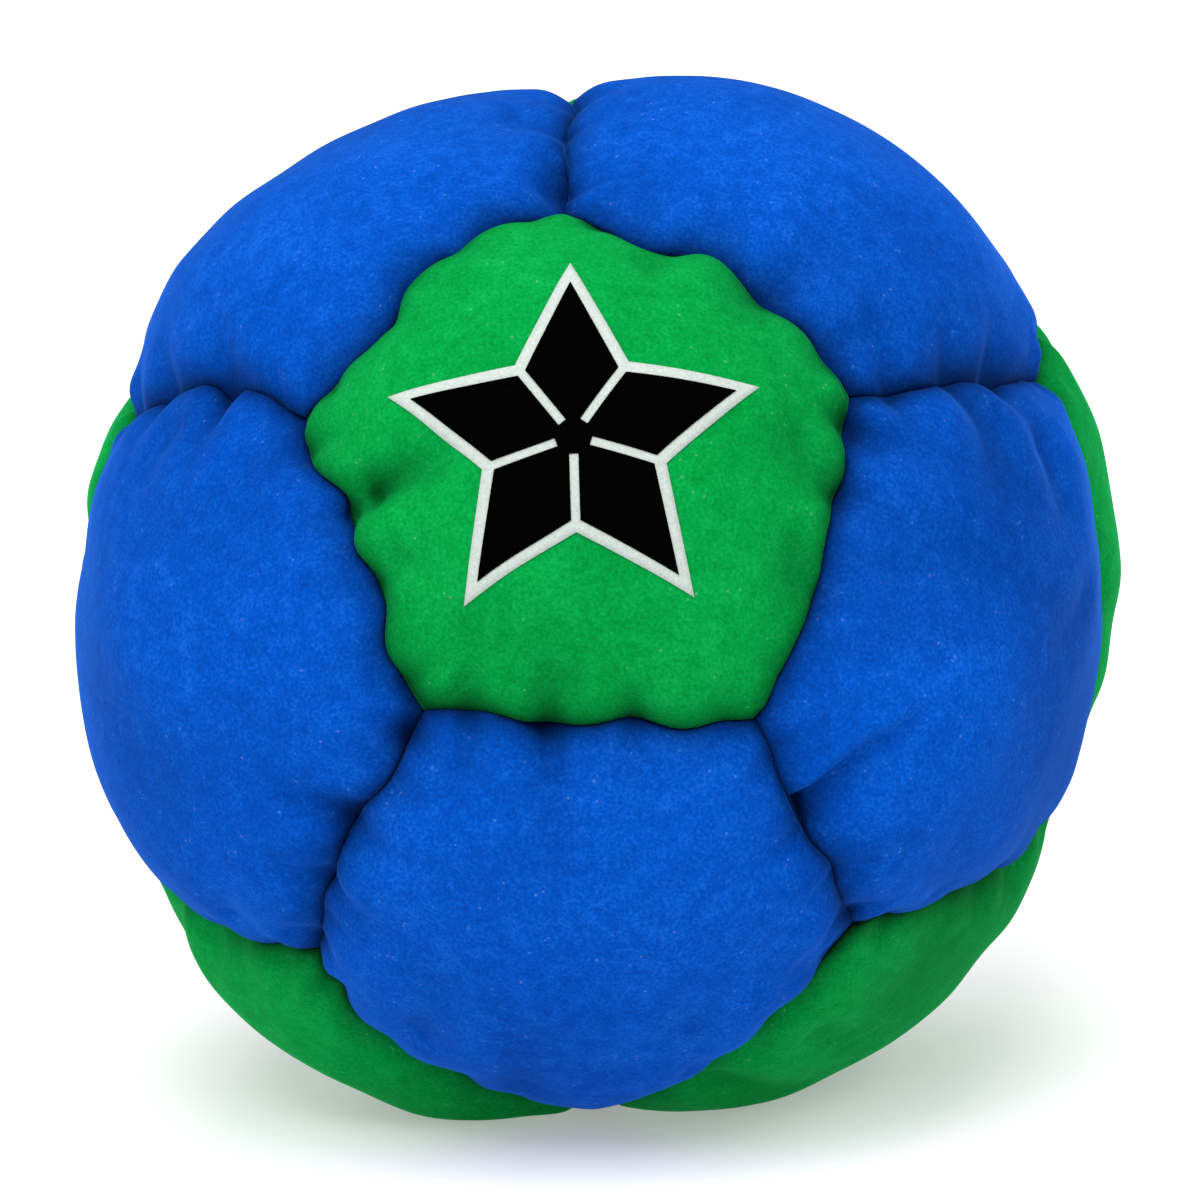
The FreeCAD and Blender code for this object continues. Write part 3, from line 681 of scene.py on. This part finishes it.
cotton, shader, place = new_finish("cotton_liner", Roughness=0.85, Sheen_Weight=0.1)
weave = place.noise(3000, 2) * 0.6 + place.noise(700, 2) * 0.4
place.mix(srgb(214, 210, 198), srgb(240, 238, 230), weave).into(shader, "Base Color")
Shade(place.tree, place.node("ShaderNodeBump", None, Strength=0.4, Distance=0.0001,
                             Height=weave).outputs[0]).into(shader, "Normal")
whole_liner = pressed_in("cotton_bag", LINER_CLEAR)
for half, side in (("liner_front", -1), ("liner_rear", 1)):
    piece = whole_liner.copy()
    piece.data = whole_liner.data.copy()
    piece.name = piece.data.name = "cotton_" + half
    bpy.context.collection.objects.link(piece)
    bpy.ops.object.select_all(action="DESELECT")
    bpy.context.view_layer.objects.active = piece
    piece.select_set(True)
    bpy.ops.object.mode_set(mode="EDIT")
    bpy.ops.mesh.select_all(action="SELECT")
    bpy.ops.mesh.bisect(plane_co=(0, side * CUT_GAP * MM, 0), plane_no=(0, side, 0),
                        clear_inner=True)
    bpy.ops.object.mode_set(mode="OBJECT")
    wall = piece.modifiers.new("thickness", "SOLIDIFY")
    wall.thickness, wall.offset = LINER * MM, -1
    bpy.ops.object.modifier_apply(modifier="thickness")
    for vertex in piece.data.vertices:      # the rim stays on its own side of the cut
        vertex.co.y = side * max(side * vertex.co.y, CUT_GAP * MM)
    piece.data.materials.append(cotton)
    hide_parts(half)
    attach(piece, "root")
bpy.data.objects.remove(whole_liner)

# ------------------------------------------------------------------ sand
# About 115 g of fine dry sand, poured into the inner bag through its last seam. A little
# air is left at the top, so the ball gives when it is caught.
SAND_CLEAR = 1.0
grains_of_sand, shader, place = new_finish("dry_sand", Roughness=0.8)
grains = place.node("ShaderNodeTexVoronoi", {"feature": "F1"}, Vector=place, Scale=2500.0)
tint = place.node("ShaderNodeValToRGB", {"stops": [
    (0.1, srgb(120, 92, 60)), (0.5, srgb(196, 168, 124)), (0.9, srgb(232, 214, 180))]},
    Fac=Shade(place.tree, place.node("ShaderNodeSeparateColor", None, Color=Shade(
        place.tree, grains.outputs["Color"])).outputs[0]))
Shade(place.tree, tint.outputs["Color"]).into(shader, "Base Color")
Shade(place.tree, place.node("ShaderNodeBump", {"invert": True}, Strength=0.8,
                             Distance=0.0002, Height=Shade(
    place.tree, grains.outputs["Distance"])).outputs[0]).into(shader, "Normal")
sand = pressed_in("loose_sand", SAND_CLEAR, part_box("sand_filling")[1][2])
sand.data.materials.append(grains_of_sand)
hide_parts("sand_filling")
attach(sand, "root")

# ------------------------------------------------------------------ printed star
# A plain five-pointed star, screen printed on the front panel in black ink over a wider
# off-white base. Each film is 0.05 mm thick and follows the suede under it.
TIP, OUTLINE, SLIT, SLIT_ROOT = 9.3, 0.6, 0.5, 1.0
FILM, WHITE_LIFT, BLACK_LIFT = 0.05, 0.10, 0.17
facing = AXES["front"]
point_up = np.array([0, 0, 1]) - facing * facing[2]
point_up /= np.linalg.norm(point_up)
sideways = np.cross(point_up, facing)
front_skin = hollows[list(suede).index("front")]


def star_film(name, tip, waist, slit, lift, colours):
    """One layer of ink: tip and waist are the radii of the star's points and notches."""
    outline = []
    for i in range(5):
        at = math.tau * i / 5
        outline.append((tip * math.cos(at), tip * math.sin(at)))
        at += math.tau / 10
        out, across = np.array([[math.cos(at), math.sin(at)], [-math.sin(at), math.cos(at)]])
        if slit:
            outline += [tuple(out * r + across * s * slit / 2)
                        for r, s in ((waist, -1), (SLIT_ROOT, -1), (SLIT_ROOT, 1), (waist, 1))]
        else:
            outline.append(tuple(out * waist))
    bpy.ops.object.select_all(action="DESELECT")
    bpy.ops.mesh.primitive_circle_add(vertices=len(outline), radius=tip, fill_type="NGON",
                                      location=(0, 0, 0))
    film = bpy.context.object
    film.name = film.data.name = name
    turns = [math.atan2(v.co.y, v.co.x) for v in film.data.vertices]
    order = sorted(range(len(turns)), key=turns.__getitem__)
    first = min(range(len(order)), key=lambda k: abs(turns[order[k]]))
    order = order[first:] + order[:first]
    for index, (x, y) in zip(order, outline):
        film.data.vertices[index].co = (x, y, 0)
    bpy.ops.object.mode_set(mode="EDIT")
    bpy.ops.mesh.select_all(action="SELECT")
    bpy.ops.mesh.quads_convert_to_tris(ngon_method="CLIP")
    for _ in range(4):
        bpy.ops.mesh.subdivide(number_cuts=1)
    bpy.ops.object.mode_set(mode="OBJECT")
    inward = Vector(-facing)
    for vertex in film.data.vertices:
        start = (CENTRE + facing * 40 + point_up * vertex.co.x + sideways * vertex.co.y) * MM
        hit = front_skin.ray_cast(Vector(start), inward)
        vertex.co = hit[0] - inward * lift * MM
    film.data.update()
    if film.data.polygons[0].normal @ Vector(facing) < 0:
        film.data.flip_normals()
    wall = film.modifiers.new("thickness", "SOLIDIFY")
    wall.thickness, wall.offset = FILM * MM, -1
    bpy.ops.object.modifier_apply(modifier="thickness")
    bpy.ops.object.shade_smooth()
    ink, shader, place = new_finish(name.replace("print", "ink"), Roughness=0.8,
                                    Specular_IOR_Level=0.0)
    nap = place.noise(*NAP)
    place.mix(*colours, nap).into(shader, "Base Color")
    Shade(place.tree, place.node("ShaderNodeBump", None, Strength=0.35, Distance=0.0001,
                                 Height=nap).outputs[0]).into(shader, "Normal")
    film.data.materials.append(ink)
    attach(film, "root")
    return film


white_star = star_film("print_white", TIP + 2.2 * OUTLINE, TIP / 2 + OUTLINE, 0, WHITE_LIFT,
                       (srgb(146, 156, 150), srgb(190, 199, 194)))
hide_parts("print_underbase")
black_star = star_film("print_black", TIP, TIP / 2, SLIT, BLACK_LIFT,
                       (srgb(0, 0, 0), srgb(4, 4, 4)))
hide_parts("print_star")

# ------------------------------------------------------------------ table, light, camera
# The ball rests on the flats of its two base panels. The table is plain white paper, lit
# a little from below, under four soft square lamps and a pale room. The camera stands 1.2 m
# off, a little above the ball and tipped slightly to one side.
bpy.ops.object.select_all(action="DESELECT")
bpy.ops.mesh.primitive_plane_add(size=6.0, location=(0, 0, 0))
table = bpy.context.object
table.name = "table"
paper, shader, place = new_finish("white_paper", Base_Color=(0.70, 0.70, 0.70, 1),
                                  Roughness=0.9, Emission_Color=(1, 1, 1, 1),
                                  Emission_Strength=0.32)
table.data.materials.append(paper)


def lamp(name, size, watts, place, aim=(0, 0, 0.028)):
    bpy.ops.object.light_add(type="AREA", location=place)
    made = bpy.context.object
    made.name = name
    made.data.size = size
    made.data.energy = watts
    made.rotation_euler = (Vector(aim) - Vector(place)).to_track_quat("-Z", "Y").to_euler()


lamp("key_light", 0.8, 12.3, (-0.12, -0.68, 0.98))
lamp("top_light", 0.8, 5.0, (0.05, 0.20, 1.00))
lamp("left_light", 0.8, 3.5, (-0.95, -0.35, 0.55))
lamp("right_light", 0.8, 3.6, (0.95, -0.30, 0.70))
world = bpy.data.worlds.new("studio")
world.use_nodes = True
world.node_tree.nodes["Background"].inputs["Color"].default_value = (1, 1, 1, 1)
world.node_tree.nodes["Background"].inputs["Strength"].default_value = 0.52
bpy.context.scene.world = world

AZIMUTH, ELEVATION, ROLL_ANGLE = math.radians(1.74), math.radians(14.15), math.radians(-2.43)
back = Vector((math.sin(AZIMUTH) * math.cos(ELEVATION),
               -math.cos(AZIMUTH) * math.cos(ELEVATION), math.sin(ELEVATION)))
right = Vector((0, 0, 1)).cross(back).normalized()
up = back.cross(right)
across = right * math.cos(ROLL_ANGLE) + up * math.sin(ROLL_ANGLE)
upward = up * math.cos(ROLL_ANGLE) - right * math.sin(ROLL_ANGLE)
DISTANCE = 1.2
FRAME_WIDTH = 66.45             # seen across the picture at the ball
AIM_ACROSS, AIM_UP = 0.28, 0.17     # from the ball's centre to the picture's middle
aim = Vector(CENTRE * MM) + across * AIM_ACROSS * MM + upward * AIM_UP * MM
eye = bpy.data.cameras.new("camera")
eye.lens = eye.sensor_width / (FRAME_WIDTH * MM / DISTANCE)
eye.clip_end = 20
camera = bpy.data.objects.new("camera", eye)
bpy.context.collection.objects.link(camera)
camera.matrix_world = Matrix.Translation(aim + back * DISTANCE) @ Matrix(
    (across, upward, back)).transposed().to_4x4()
bpy.context.scene.camera = camera
bpy.context.scene.view_settings.view_transform = "Standard"
